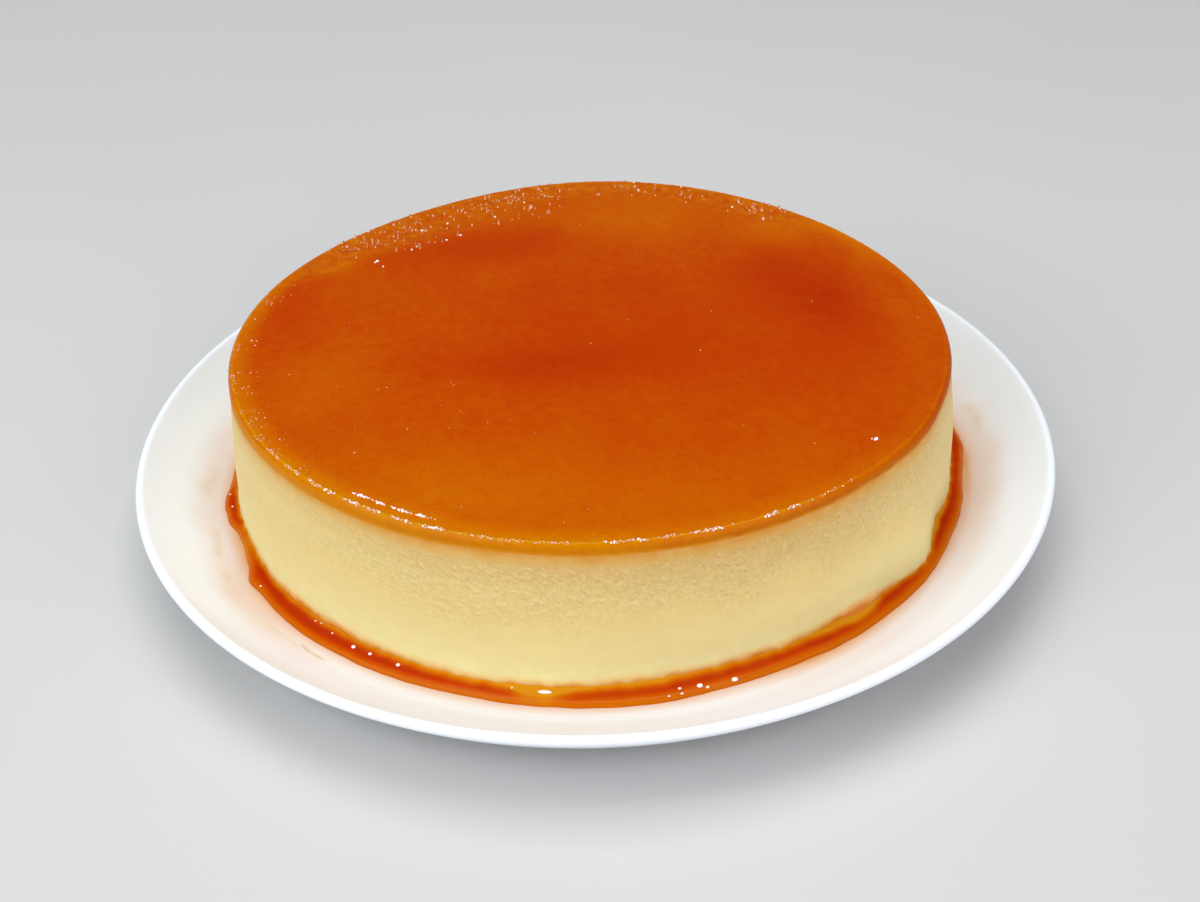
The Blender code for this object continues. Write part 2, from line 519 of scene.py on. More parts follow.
# The wide part: syrup stain, and at the right and left painted reflection of the flan.
broad = np.minimum(swollen(plate_degrees, WIDE_STAINS_AND_REFLECTIONS), MOST_STAIN_AND_REFLECTION)
broad *= 1 + 0.15 * ripple(plate_points, 7 * MM, 3)
broad *= 1 - soft_step(past_pool + wander / MM, 5, 14)
store(plate, "stain_and_reflection", np.clip(fringe + broad, 0, 1) * on_face)
print(f"the wide stain is {broad.max():.2f} strong at most")

# %% [markdown]
# Glaze is a thin coat of clear glass on white clay. It could be a clear coat over a matt base.
# One shader with a modest highlight is simpler, so that is what is used here. A slow change in
# its colour and roughness keeps it from looking like plastic.

# %% Glaze
glaze = Recipe("glaze", Specular_IOR_Level=0.3)
clouds = glaze.cloud(0.03, 2)
bare = glaze.mix(clouds, (0.85, 0.895, 0.965), (0.875, 0.92, 0.99))
# Stain tint, with painted reflection of the flan in its wide part at the right and left.
tinted = glaze.mix(glaze.stored("stain_and_reflection"), bare, "dfa160")
glaze.feed(glaze.mix(glaze.stored("streaks"), tinted, "cfa63e"), "Base Color")
glaze.feed(glaze.span(glaze.cloud(0.02, 2), 0.2, 0.8, 0.27, 0.33), "Roughness")
place_piece(plate, "white_glaze", glaze.material, "plate")

# %% [markdown]
# ## The custard
#
# Egg custard sets like soft cheese. Its wall took the shape of the pan, so it is nearly
# upright, but it isn't smooth: steam left fine pits in it, most of them in the upper half, and
# the foot has slumped and torn a little where it left the pan. Real relief carries what is
# larger than about a millimetre, because it has to show in the outline as well. The finest
# pores are left to the material's bump.

# %% Measure the wall at six heights
CUSTARD_AROUND = 960
CUSTARD_ROWS = 88
MEASURED_ROWS = 6

# The first and last rows lie just inside the solid's two ends.
measured_heights = np.linspace(custard_low.z + 1.4 * MM, custard_high.z - 0.1 * MM, MEASURED_ROWS)
measured_walls = np.array([outline("custard", h, CUSTARD_AROUND) for h in measured_heights])


def wall_at(height):
    """The smooth wall's radii at one height, between the measured rows."""
    row = np.interp(height, measured_heights, np.arange(MEASURED_ROWS))
    low = min(int(row), MEASURED_ROWS - 2)
    return measured_walls[low] + (measured_walls[low + 1] - measured_walls[low]) * (row - low)


print("walls read at", [round(h / MM, 1) for h in measured_heights], "mm")

# %% [markdown]
# Custard and caramel are one set mass, so the solids' gap between them has to close. The seam
# isn't level either: syrup soaked deeper in some places than in others. One function says how
# high the seam is in each direction, and both pieces use it.

# %% Draw the seam under the caramel
# Each swell of the seam: direction, spread, and how far up it goes there.
SEAM_SWELLS = ((-10, 40, 1.4 * MM), (-90, 45, 0.9 * MM), (180, 60, 0.4 * MM))


def seam_height(turns):
    """The height at which custard ends and caramel begins."""
    circle = ring_points(np.full(len(turns), plate_radius), 0.0, turns)
    wave = 0.25 * MM * ripple(circle, 12 * MM, 21)
    return top_low.z + swollen(np.degrees(turns), SEAM_SWELLS) + wave


# %% [markdown]
# The pits lean: they were drawn sideways as the custard slid out of its pan. Noise is the same
# in every direction, so the points are sheared before the noise is read. Each point's direction
# is turned a little further the higher it stands, and the noise wraps round with no seam.

# %% Lean the noise
SHEAR = 0.3  # metres sideways for each metre up


def sheared(turns, heights, radius=0.1, squash=0.9):
    """Points on a drum, turned further the higher they stand. squash flattens the pits."""
    leaned = turns + SHEAR * heights / radius
    return np.stack([radius * np.cos(leaned), radius * np.sin(leaned), heights * squash], axis=1)


print(f"from foot to top the noise leans {SHEAR * (flan_top - floor_height) / MM:.1f} mm sideways")

# %% [markdown]
# Four kinds of relief are added up: broad dents left by the pan, pits with fine grit, a foot
# that sags outwards, and the ragged line where that foot tore. Next to the caramel the dents
# and pits fade, because there the set syrup filled them.

# %% Shape the custard
PIT_DEPTH = 0.42 * MM
GRIT_HEIGHT = 0.08 * MM
SLUMP = 0.8 * MM
SLUMP_REACH = 4.5 * MM
RAGGED = 0.7 * MM
RAGGED_REACH = 3 * MM
# Where the wall is less pitted, by how much: direction, spread, and share.
SMOOTH_SWELLS = ((-158, 30, 0.75), (-8, 24, 0.5))
# Where the foot stands further out or in than the solid's: direction, spread, metres, and how
# far up that reaches.
FOOT_SWELLS = (
    (-160, 8, -0.9 * MM, 14 * MM),
    (-7, 7, -1.2 * MM, 14 * MM),
    (-46, 4.5, 1.8 * MM, 2.6 * MM),
    (-52, 1.5, -0.8 * MM, 4.0 * MM),
    (-37, 7, -1.7 * MM, 6.0 * MM),
    (-20, 6, -1.3 * MM, 6.0 * MM),
)


def custard_relief(points, turns, heights):
    """How far each point of the wall stands out, and how pitted it is there."""
    degrees = np.degrees(turns)
    up = (heights - floor_height) / (flan_top - floor_height)
    lean = sheared(turns, heights)
    patches = ripple(points, 14 * MM, 3)
    pitted = soft_step(up + 0.12 * patches, 0.30, 0.66) * (1 - soft_step(up, 0.82, 0.89))
    pitted *= 1 - swollen(degrees, SMOOTH_SWELLS)
    broad = 0.25 * MM * ripple(points, 22 * MM, 4) + 0.10 * MM * ripple(points, 7 * MM, 5)
    dents = np.minimum(0, ripple(lean, 1.7 * MM, 6) + 0.08) * PIT_DEPTH
    grit = ripple(lean, 1.2 * MM, 7) * GRIT_HEIGHT
    above_floor = heights - floor_height
    slump = SLUMP + swollen(degrees, ((-90, 45, 0.6 * MM),))
    slump = slump * fade(above_floor, SLUMP_REACH)
    for *swell, reach in FOOT_SWELLS:
        slump = slump + swollen(degrees, (swell,)) * fade(above_floor, reach)
    ragged = RAGGED * ripple(points, 3.2 * MM, 8) * fade(above_floor, RAGGED_REACH)
    meets_top = 1 - soft_step(up, 0.84, 0.92)
    out = (broad + (dents + grit) * (0.12 + 0.88 * pitted)) * meets_top + slump + ragged
    return out, pitted


even_turns = np.linspace(0, 2 * math.pi, CUSTARD_AROUND, endpoint=False)
seam = seam_height(even_turns)
custard_rings, custard_pits, custard_out = [], [], []
for share in np.linspace(0, 1, CUSTARD_ROWS):
    heights = custard_low.z + (seam - custard_low.z) * share
    radii = wall_at(heights.mean())
    plain = ring_points(radii, heights)
    out, pitted = custard_relief(plain, even_turns, heights)
    custard_rings.append(ring_points(radii + out, heights))
    custard_pits.append(pitted)
    custard_out.append(out)
custard = mesh_from_rings("custard_block", custard_rings, close_first=True, close_last=True)
relief = np.concatenate(custard_out)
print(f"custard relief: {relief.min() / MM:.2f} to {relief.max() / MM:.2f} mm")

# %% [markdown]
# The colour isn't even either. Syrup soaked down from the caramel and left a tan band, and the
# pool wets the foot orange. Both are stored as a distance in millimetres, with some noise in
# it, so that a colour ramp can place each shade where it belongs.

# %% Store what the custard's colour depends on
POOL_LEVEL = pool_high.z - 0.9 * MM  # the visible syrup stands this much below the solid's top
# Where the pool's syrup was drawn further up the wall: direction, spread, and millimetres.
WET_SWELLS = ((-138, 16, 1.4), (-165, 8, 0.8), (-47, 5, 1.8), (-84, 14, 0.4), (-62, 10, 0.6))

# Where the tan band under the caramel ends sooner or later: direction, spread, and share.
BAND_SWELLS = ((-148, 38, 0.5), (-10, 25, 0.4), (-55, 18, -0.2))
PIT_TURN = math.radians(-147)  # one pit at the front left is tan-brown, the colour of the band under the caramel
PIT_HEIGHT = 34 * MM
PIT_REACH = 1.3 * MM

custard_points = np.concatenate(custard_rings)
custard_turns = np.tile(even_turns, CUSTARD_ROWS)
store(custard, "pitted", np.concatenate(custard_pits))
drift = 0.5 * ripple(custard_points, 6 * MM, 9) + 0.25 * ripple(custard_points, 1.8 * MM, 10)
below_seam = (np.tile(seam, CUSTARD_ROWS) - custard_points[:, 2]) / MM
pit_radius = wall_at(PIT_HEIGHT)[0]
pit_place = (pit_radius * math.cos(PIT_TURN), pit_radius * math.sin(PIT_TURN), PIT_HEIGHT)
to_pit = np.linalg.norm(custard_points - pit_place, axis=1)
brown_spot = fade(to_pit, PIT_REACH)
hastened = 1 + swollen(np.degrees(custard_turns), BAND_SWELLS)
store(custard, "below_caramel", (below_seam * hastened + drift) * (1 - brown_spot))
above_pool = (custard_points[:, 2] - POOL_LEVEL) / MM + 1.2 * drift
store(custard, "above_pool", above_pool - swollen(np.degrees(custard_turns), WET_SWELLS))
grain = custard.data.attributes.new("grain", "FLOAT_VECTOR", "POINT")
lean_points = sheared(custard_turns, custard_points[:, 2])
grain.data.foreach_set("vector", lean_points.astype(np.float32).ravel())
print(f"the pool wets the wall up to {POOL_LEVEL / MM:.1f} mm")

# %% [markdown]
# Custard lets light in a little way, which softens its shadows: subsurface scattering does
# that. Its pores are too fine for the mesh, so two noises draw them, and a bump lets them catch
# the light. On top of that the pits are painted darker and the ridges between them lighter:
# painted shade and painted highlight. A painted texture could show them too, but it would fit
# only this one shape.

# %% Baked custard
baked = Recipe(
    "baked_custard",
    Specular_IOR_Level=0.3,
    Subsurface_Weight=0.2,
    Subsurface_Radius=(1.0, 0.6, 0.25),
    Subsurface_Scale=1.5 * MM,
)
tinted = baked.ramp(
    baked.span(baked.stored("below_caramel"), 0, 14),
    ((0, "d68e2a"), (0.08, "d69638"), (0.20, "d8a752"), (0.38, "dfba74"), (1, "e5cc88")),
)
lower = baked.span(baked.stored("above_pool"), 2, 20, 1, 0)
yellow = baked.mix(lower, tinted, "e2db9f")
mottle = baked.span(baked.cloud(0.004, 4), 0.35, 0.65, 0.0, 0.25)
yellow = baked.mix(mottle, yellow, "dfc482")
lean_place = baked.stored("grain", "Vector")
grains = baked.cloud(0.0012, 2.5, lean_place, 0.6)
specks = baked.span(baked.cell(0.0021, lean_place), 0.10, 0.36, 0.5, 0)
pit_and_shade = baked.math("MAXIMUM", baked.span(grains, 0.46, 0.72), specks)
pit_and_shade = baked.math("MULTIPLY", pit_and_shade, baked.stored("pitted"))
# Pits mixed darker: painted shade in the pits, on top of the bump's own shading.
yellow = baked.mix(baked.math("MULTIPLY", pit_and_shade, 0.36), yellow, "cba85e")
ridge_and_light = baked.math("MULTIPLY", baked.span(grains, 0.46, 0.28), baked.stored("pitted"))
# Ridges mixed lighter: painted highlight on the ridges between the pits.
yellow = baked.mix(baked.math("MULTIPLY", ridge_and_light, 0.45), yellow, "f2e2ae")
wet = baked.span(baked.stored("above_pool"), -0.6, 2.6, 1, 0)
wet_shades = ((0, "e8d28c"), (0.4, "e6b35c"), (0.75, "dc8f24"), (1, "d2780c"))
wet_colour = baked.ramp(wet, wet_shades)
baked.feed(baked.mix(wet, yellow, wet_colour), "Base Color")
baked.feed(baked.math("SUBTRACT", 0.55, baked.math("MULTIPLY", wet, 0.3)), "Roughness")
fine = baked.bump(baked.cloud(0.0007, 2), 0.05 * MM)
baked.feed(baked.bump(baked.math("SUBTRACT", ridge_and_light, pit_and_shade), 0.23 * MM, fine), "Normal")
place_piece(custard, "baked_custard", baked.material, "custard")

# %% [markdown]
# ## The caramel on top
#
# Syrup stained and glazed the custard that lay in it. That makes one layer with a level, glossy
# top, a rounded edge and a side that shows as an amber band. It could be a plain disc with a
# bevel, but then the highlight along its edge would be one clean line. On the real one a faint
# lip stands just inside the edge, and behind it, at the back, froth has set in the syrup.

# %% Measure where the caramel lies
TOP_AROUND = 720
OVERLAP = 0.2 * MM

top_outline = outline("caramel_top", top_low.z + 1 * MM, TOP_AROUND)
side_lowest = outline("custard", custard_high.z - 0.1 * MM, TOP_AROUND)
top_turns = np.linspace(0, 2 * math.pi, TOP_AROUND, endpoint=False)
lowest = seam_height(top_turns) - OVERLAP
print(f"caramel {(flan_top - lowest.max()) / MM:.1f} to {(flan_top - lowest.min()) / MM:.1f} mm deep")

# %% Say how its surface swells
CREST_INWARD = 1.2 * MM  # the faint lip stands this far from the edge
CREST_HEIGHT = 0.16 * MM
FROTH_MIDDLE = 100  # degrees
FROTH_LEAST = 10  # mm
# How much further inwards the froth reaches: direction, spread, and millimetres.
FROTH_SWELLS = ((122, 26, 18), (62, 22, 7))


def froth(degrees, inward):
    """How frothy the caramel is, from 0 to 1. The froth set along the back edge only."""
    reach = FROTH_LEAST + swollen(degrees, FROTH_SWELLS)
    window = 1 - soft_step(np.abs(turn_gap(degrees, FROTH_MIDDLE)), 48, 64)
    return window * (1 - soft_step(inward / MM, 0.45 * reach, reach))


def top_relief(points, degrees, inward):
    """How high the caramel stands above its level, in metres."""
    crest = CREST_HEIGHT * fade(inward - CREST_INWARD, 0.55 * MM)
    crest *= 1 + 0.7 * ripple(points, 2.2 * MM, 22)
    swell = 0.07 * MM * ripple(points, 30 * MM, 11) + 0.012 * MM * ripple(points, 7 * MM, 12)
    foam = froth(degrees, inward)
    lumps = 0.42 * MM * ripple(points, 3.4 * MM, 13) + 0.20 * MM * ripple(points, 1.9 * MM, 14)
    lumps *= soft_step(inward, 0.8 * MM, 4 * MM)
    return crest + swell * soft_step(inward, 2 * MM, 12 * MM) + foam * (lumps - 0.25 * MM)


# %% Shape the caramel layer
SIDE_ROWS = 7
EDGE_ROWS = 8
INWARD_ROWS = 104
EDGE_RADIUS = 1.5 * MM

top_rings, inwards = [], []
for row in range(SIDE_ROWS):
    share = row / SIDE_ROWS
    heights = lowest + (flan_top - EDGE_RADIUS - lowest) * share
    radii = side_lowest + 0.05 * MM + (top_outline - side_lowest) * share
    top_rings.append(ring_points(radii, heights))
    inwards.append(np.zeros(TOP_AROUND))
for row in range(EDGE_ROWS):
    turn = math.pi / 2 * row / (EDGE_ROWS - 1)
    inward = EDGE_RADIUS * (1 - math.cos(turn))
    height = flan_top - EDGE_RADIUS * (1 - math.sin(turn))
    top_rings.append(ring_points(top_outline - inward, height))
    inwards.append(np.full(TOP_AROUND, inward))
for row in range(1, INWARD_ROWS):
    share = (row / INWARD_ROWS) ** 1.4
    inward = EDGE_RADIUS + (top_outline - EDGE_RADIUS - 1 * MM) * share
    top_rings.append(ring_points(top_outline - inward, flan_top))
    inwards.append(inward)
top_points = np.concatenate(top_rings)
top_inward = np.concatenate(inwards)
top_degrees = np.degrees(np.arctan2(top_points[:, 1], top_points[:, 0]))
on_top = soft_step(top_points[:, 2], flan_top - EDGE_RADIUS, flan_top - 0.3 * MM)
top_points[:, 2] += on_top * (top_relief(top_points, top_degrees, top_inward) - 0.15 * MM)
top_rings = np.split(top_points, len(top_rings))
caramel = mesh_from_rings("caramel_layer", top_rings, close_first=True, close_last=True)

# %% [markdown]
# Caramel is lightest where it is thinnest. The rounded edge is thin, so it glows orange. The
# froth at the back and a patch in front are amber, and where the syrup stood deepest it is
# nearly red. The broad patches are few, so each is written down as a soft oval: its middle and
# its half width and depth, in shares of the flan's radius, and how much deeper and darker it
# is. Some patches at the right are painted shade as well as deeper syrup: they darken the side
# of the top that is away from the key light.

# %% Store how deep the syrup looks
# Each patch: its middle (across, away), its half width and depth, and how much deeper and
# darker it is. Some at the right are painted shade on the side away from the key light.
DEPTH_AND_SHADE_PATCHES = (
    (0.05, 0.10, 0.58, 0.34, 0.11),
    (-0.10, -0.17, 0.34, 0.12, 0.20),
    (-0.36, 0.55, 0.32, 0.13, 0.16),
    (-0.88, 0.22, 0.10, 0.22, 0.14),
    (0.58, 0.34, 0.10, 0.17, 0.16),
    (0.70, 0.12, 0.10, 0.18, 0.18),
    (0.86, 0.36, 0.09, 0.22, -0.16),
    (0.50, -0.34, 0.22, 0.14, 0.04),
    (0.66, 0.08, 0.30, 0.42, 0.13),
    (0.60, 0.60, 0.14, 0.12, -0.18),
    (0.92, 0.30, 0.05, 0.12, 0.20),
    (-0.15, 0.62, 0.12, 0.10, 0.09),
    (0.20, 0.90, 0.35, 0.10, -0.10),
    (-0.02, -0.92, 0.20, 0.08, -0.06),
    (0.14, 0.70, 0.30, 0.16, -0.17),
    (0.40, 0.60, 0.10, 0.12, 0.05),
    (-0.78, 0.47, 0.06, 0.05, -0.40),
    (-0.42, -0.74, 0.34, 0.18, -0.20),
    (0.22, -0.84, 0.50, 0.16, -0.12),
    (-0.74, -0.22, 0.12, 0.20, -0.08),
    (0.90, -0.05, 0.05, 0.30, -0.06),
)
RIM_DEPTH = 0.08
MIDDLE_DEPTH = 0.50
# Where the rim looks deeper than that: direction, spread, and how much.
RIM_SWELLS = ((-12, 45, 0.44), (165, 45, 0.16))
# Where the side of the layer is lighter and yellower: direction, spread, and share.
YELLOW_SIDE_SWELLS = ((-150, 30, 0.72), (-95, 20, 0.20), (-45, 20, 0.20))


def depth_and_shade(points, inward, foam):
    """From 0, thin and orange, to 1, deep and red."""
    size = top_outline.mean()
    degrees = np.degrees(np.arctan2(points[:, 1], points[:, 0]))
    rim = RIM_DEPTH + swollen(degrees, RIM_SWELLS)
    depth = rim + (MIDDLE_DEPTH - rim) * soft_step(inward / MM, 1.2, 8.5)
    for x, y, wide, far, darker in DEPTH_AND_SHADE_PATCHES:
        oval = ((points[:, 0] / size - x) / wide) ** 2 + ((points[:, 1] / size - y) / far) ** 2
        depth += darker * np.exp(-oval) * soft_step(inward / MM, 2, 7)
    depth += 0.05 * ripple(points, 18 * MM, 15) + 0.035 * ripple(points, 5 * MM, 16)
    crest = fade(inward - CREST_INWARD, 0.5 * MM)
    depth -= 0.12 * crest * (1 + ripple(points, 1.5 * MM, 23))
    froth_depth = 0.30 + 0.24 * ripple(points, 2.6 * MM, 17)
    return np.clip(depth + (froth_depth - depth) * 0.8 * foam, 0, 1)


foam = froth(top_degrees, top_inward) * on_top
store(caramel, "froth", foam)
store(caramel, "side", 1 - on_top)
store(caramel, "yellow_side", swollen(top_degrees, YELLOW_SIDE_SWELLS) * (1 - on_top))
above_seam = (top_points[:, 2] - np.tile(lowest, len(top_rings))) / MM
ends = soft_step(above_seam + 0.4 * ripple(top_points, 3 * MM, 24), 0.1, 1.1)
store(caramel, "soaked", 1 - ends)
store(caramel, "depth_and_shade", depth_and_shade(top_points, top_inward, foam))
print(f"{(foam > 0.5).mean():.1%} of the caramel's points are frothy")

# %% [markdown]
# Caramel is like coloured glass on a pale ground, and it could be made as tinted glass over the
# custard. Then every shade would have to come from the layer's real depth. An opaque shader
# over a stored depth was chosen instead, because each patch can be set by itself. The cost is
# that nothing shows through it.

# %% Caramel
AMBER_SHADES = ((0, "c47c00"), (0.20, "bf6100"), (0.40, "b85000"))
RED_SHADES = ((0.60, "b13b00"), (0.80, "a82e00"), (1, "9a2000"))
amber = Recipe("amber_caramel", Specular_IOR_Level=0.05)
mottle = amber.span(amber.cloud(0.0022, 3, rough=0.6), 0.3, 0.7, -0.05, 0.05)
# The stored depth also holds painted shade at the right of the top.
depth = amber.math("ADD", amber.stored("depth_and_shade"), mottle)
shade = amber.ramp(depth, AMBER_SHADES + RED_SHADES)
flecks = amber.span(amber.cloud(0.0016, 3), 0.60, 0.72, 0.0, 0.25)
shade = amber.mix(flecks, shade, "a02c00")
soaked = amber.math("MULTIPLY", amber.stored("soaked"), 0.8)
# The side is mixed lighter and yellower in some directions.
shade = amber.mix(amber.stored("yellow_side"), shade, "dc8800")
amber.feed(amber.mix(soaked, shade, "d68e20"), "Base Color")
set_froth = amber.stored("froth")
roughness = amber.math("ADD", 0.14, amber.math("MULTIPLY", set_froth, 0.2))
roughness = amber.math("ADD", roughness, amber.math("MULTIPLY", amber.stored("side"), 0.4))
amber.feed(roughness, "Roughness")
grit = amber.math("MULTIPLY", amber.cloud(0.0011, 3), set_froth)
amber.feed(amber.bump(grit, 0.6 * MM), "Normal")
place_piece(caramel, "caramel", amber.material, "caramel_top")

# %% [markdown]
# ## The pool
#
# What stayed liquid ran down and lies round the foot. A liquid climbs a little where it wets
# the custard and stops on the plate in a rounded edge. Its depth sets its colour: pale where it
# is a film, dark red where it is deepest, orange again at the thin edge. Glass with a coloured
# inside would do this too, and would show the plate and the foot through it. Here the depth is
# stored instead, so that each stretch's shade can be set by itself, and the syrup is opaque.

# %% Say where the pool is wide, thin or shallow
# Where the syrup next to the foot is only a film: direction, spread, and its width in mm.
FILM_SWELLS = ((-98.5, 4.5, 3.2), (-83, 4, 0.8), (-51, 4.5, 1.8), (-21, 4.5, 1.1))
# Where the slope to its outer edge is longer than 3 mm, and orange: direction, spread, and mm.
OUTER_SWELLS = ((-171, 6, 0.2), (-153, 4, 1.6), (-82, 14, 1.6), (-66, 10, 0.8), (-28, 22, 0.9))
# Where its outer edge runs further out or in than the solid's: direction, spread, and mm.
EDGE_SWELLS = (
    (-172, 4, 1.4),
    (-167, 2, 0.8),
    (-158.5, 3, 0.4),
    (-151.5, 2.5, 1.2),
    (-142, 8, 0.5),
    (-110, 5, -0.4),
    (-83, 10, 0.6),
    (-67, 5, 0.3),
    (-35, 7, 0.5),
    (-8, 5, -1.0),
    (2, 3, 0.6),
)
# Where the syrup is shallow over its whole width: direction, spread, and how much is missing.
SHALLOW_SWELLS = ((-159.5, 3.5, 0.5), (-88, 5, 0.1), (-178, 4, 0.3))

print(f"{len(EDGE_SWELLS)} swells of its edge, {len(FILM_SWELLS)} films next to the foot")

# %% Trace the pool's two edges
POOL_AROUND = 900
CLIMB = 0.35 * MM  # how far the syrup climbs up the custard

pool_outline = outline("caramel_pool", POOL_SLICE, POOL_AROUND)
pool_turns = np.linspace(0, 2 * math.pi, POOL_AROUND, endpoint=False)
pool_degrees = np.degrees(pool_turns)
on_outline = ring_points(pool_outline, 0.0)
pool_reach = pool_outline - EDGE_INSET + 0.25 * MM * ripple(on_outline, 5 * MM, 18)
pool_reach += swollen(pool_degrees, EDGE_SWELLS) * MM
film = swollen(pool_degrees, FILM_SWELLS) + 0.5 * np.abs(ripple(on_outline, 7 * MM, 20))
sideways = swollen(pool_degrees, ((-158, 30, 1), (-20, 34, 1)))
inner_slope = 3.8 - 2.4 * np.minimum(sideways, 1)
outer_slope = 3.0 + swollen(pool_degrees, OUTER_SWELLS)
fullness = 1 - swollen(pool_degrees, SHALLOW_SWELLS)
climb = CLIMB * (1 + 0.45 * ripple(on_outline, 4 * MM, 19))
wet_share = (POOL_LEVEL + CLIMB - custard_low.z) / (top_low.z - custard_low.z)
wall_points = custard_rings[round(wet_share * CUSTARD_ROWS)]
wall_reach = np.hypot(wall_points[:, 0], wall_points[:, 1])
wall_here = np.interp(pool_turns, even_turns, wall_reach, period=2 * math.pi)
widths = (pool_reach - wall_here) / MM
print(f"the pool is {widths.min():.1f} to {widths.max():.1f} mm wide")

# %% Shape the pool
POOL_ROWS = 30
CLIMB_REACH = 1.2 * MM
EDGE_ROUND = 2.6  # mm over which the surface curves down to its outer edge

bed = [(s * plate_radius, plate_height_at(s)) for s in np.linspace(0.7, 0.9, 41)]
bed_radii, bed_heights = np.array(bed).T

surface_rings, surface_depths = [], []
innermost = wall_here - 0.5 * MM
for row in range(POOL_ROWS):
    share = (row / (POOL_ROWS - 1)) ** 0.85
    radii = innermost + (pool_reach - innermost) * share
    off_wall = (radii - wall_here) / MM
    to_edge = (pool_reach - radii) / MM
    roundness = np.sqrt(1 - (1 - np.clip(to_edge / EDGE_ROUND, 0, 1)) ** 2)
    below = np.interp(radii, bed_radii, bed_heights)
    rise_here = climb * np.exp(-np.maximum(radii - wall_here, 0) / CLIMB_REACH)
    surface = below + 0.05 * MM + np.maximum(POOL_LEVEL + rise_here - below, 0) * roundness
    surface_rings.append(ring_points(radii, surface))
    deep = soft_step(off_wall, film - 0.3, film + inner_slope)
    deep = deep * (0.22 + 0.78 * soft_step(to_edge, 0, outer_slope)) * fullness
    surface_depths.append(np.broadcast_to(deep, POOL_AROUND))
bed_at_edge = np.interp(pool_reach, bed_radii, bed_heights)
inner_bottom = ring_points(innermost, floor_height)
outer_bottom = ring_points(pool_reach, bed_at_edge)
pool_rings = [inner_bottom, outer_bottom] + surface_rings[::-1]
pool = mesh_from_rings("syrup_pool", pool_rings, hoop=True)
pool_depths = [surface_depths[0], surface_depths[-1]] + surface_depths[::-1]
store(pool, "pool_depth", np.concatenate(pool_depths))

# %% [markdown]
# Liquid syrup is as smooth as glass, so it is glossier than the set caramel. Its shades come
# from the stored depth alone: yellow in a film, orange on the slopes, and red in the middle.

# %% Syrup
SHALLOW_SHADES = ((0, "d08a12"), (0.08, "cc7808"), (0.22, "c76400"), (0.40, "c25200"))
DEEP_SHADES = ((0.60, "bc4000"), (0.80, "b53200"), (1, "b02b00"))

syrup = Recipe("syrup", Roughness=0.08, Specular_IOR_Level=0.06)
shade = syrup.ramp(syrup.stored("pool_depth"), SHALLOW_SHADES + DEEP_SHADES)
syrup.feed(shade, "Base Color")
place_piece(pool, "syrup", syrup.material, "caramel_pool")

# %% [markdown]
# ## Bubbles
#
# More than a thousand tiny bubbles set in the caramel: a row along the front lip, a second one at
# the front left, clusters at the left, and many in the froth, where some were drawn out into
# streaks. A few larger ones float in the pool. Their pale, nearly white skins are painted
# highlight: they stand for the glints that the lights make on the lip, the froth and the pool.
# Each is a low dome, and all are one mesh, because particles and instances don't export. The
# random places come from a fixed seed, so that every run gives the same.

# %% List the groups of bubbles
CLUMPS = 0.45  # the higher, the smaller the clumps that the bubbles gather in
# Each group: how many, from and to (degrees), nearest and furthest from the edge and least and
# largest size (mm), how many times longer than wide towards the front, and how pale, that is
# how much painted highlight its skins carry.
BUBBLE_GROUPS = (
    (330, -146, -50, 0.8, 1.5, 0.10, 0.27, 1.3, 0.8),
    (60, -142, -112, 0.7, 1.6, 0.16, 0.42, 1.3, 0.9),
    (90, -129, -112, 4.2, 4.8, 0.18, 0.46, 1.5, 1.0),
    (60, -180, -142, 0.8, 2.4, 0.16, 0.46, 1.2, 0.3),
    (50, -172, -138, 2.5, 10.0, 0.14, 0.44, 1.2, 0.2),
    (36, 158, 184, 0.8, 7.0, 0.14, 0.42, 1.2, 0.4),
    (190, 48, 146, 0.8, 10.0, 0.18, 0.48, 4.4, 0.28),
    (44, 48, 146, 1.0, 13.0, 0.18, 0.48, 2.6, 0.65),
    (110, 96, 140, 6.0, 24.0, 0.20, 0.50, 5.5, 0.30),
    (11, 90, 146, 12.0, 28.0, 0.35, 0.65, 1.5, 1.0),
    (90, -90, -61, 0.8, 1.6, 0.12, 0.28, 3.0, 0.85),
    (26, -180, 180, 3.0, 95.0, 0.10, 0.26, 1.0, 0.6),
    (26, 180, 270, 8.0, 60.0, 0.12, 0.34, 1.2, 0.2),
    (4, -40, -38, 7.5, 9.0, 0.25, 0.55, 1.6, 0.9),
)
# Single bubbles in the pool, whose white skins are painted highlight for the glints of the
# lights on the syrup; the wide one at -97.9 degrees is a painted reflection of a light. Each:
# direction, distance from the axis, size, and how many times wider than deep they are.
POOL_BUBBLES_AND_GLINTS = (
    (-148.8, 107.3, 0.35, 1.0),
    (-136.3, 103.6, 0.30, 1.0),
    (-135.2, 103.2, 0.25, 1.0),
    (-132.3, 103.8, 0.30, 1.0),
    (-127.7, 104.3, 0.60, 1.1),
    (-124.7, 104.0, 0.55, 1.0),
    (-119.8, 103.9, 0.60, 1.0),
    (-102.6, 102.7, 0.30, 1.0),
    (-97.9, 103.2, 0.62, 3.2),
    (-79.3, 104.3, 0.40, 1.2),
    (-76.5, 104.5, 0.70, 1.2),
    (-71.5, 104.9, 0.72, 1.3),
    (-75.5, 107.2, 0.40, 1.2),
    (-79.2, 107.4, 0.30, 1.5),
    (-81.0, 107.3, 0.25, 1.5),
    (-173.5, 107.8, 0.30, 1.0),
    (-170.0, 107.0, 0.35, 1.0),
)

print(f"{sum(row[0] for row in BUBBLE_GROUPS)} on top, {len(POOL_BUBBLES_AND_GLINTS)} in the pool")

# %% One bubble
DOME_SIDES = 8
DOME_RINGS = 3
DOME_HEIGHT = 0.75  # in shares of its radius
DOME_LEAN = 1.15 * math.pi / 2  # its lowest ring goes a little past the level


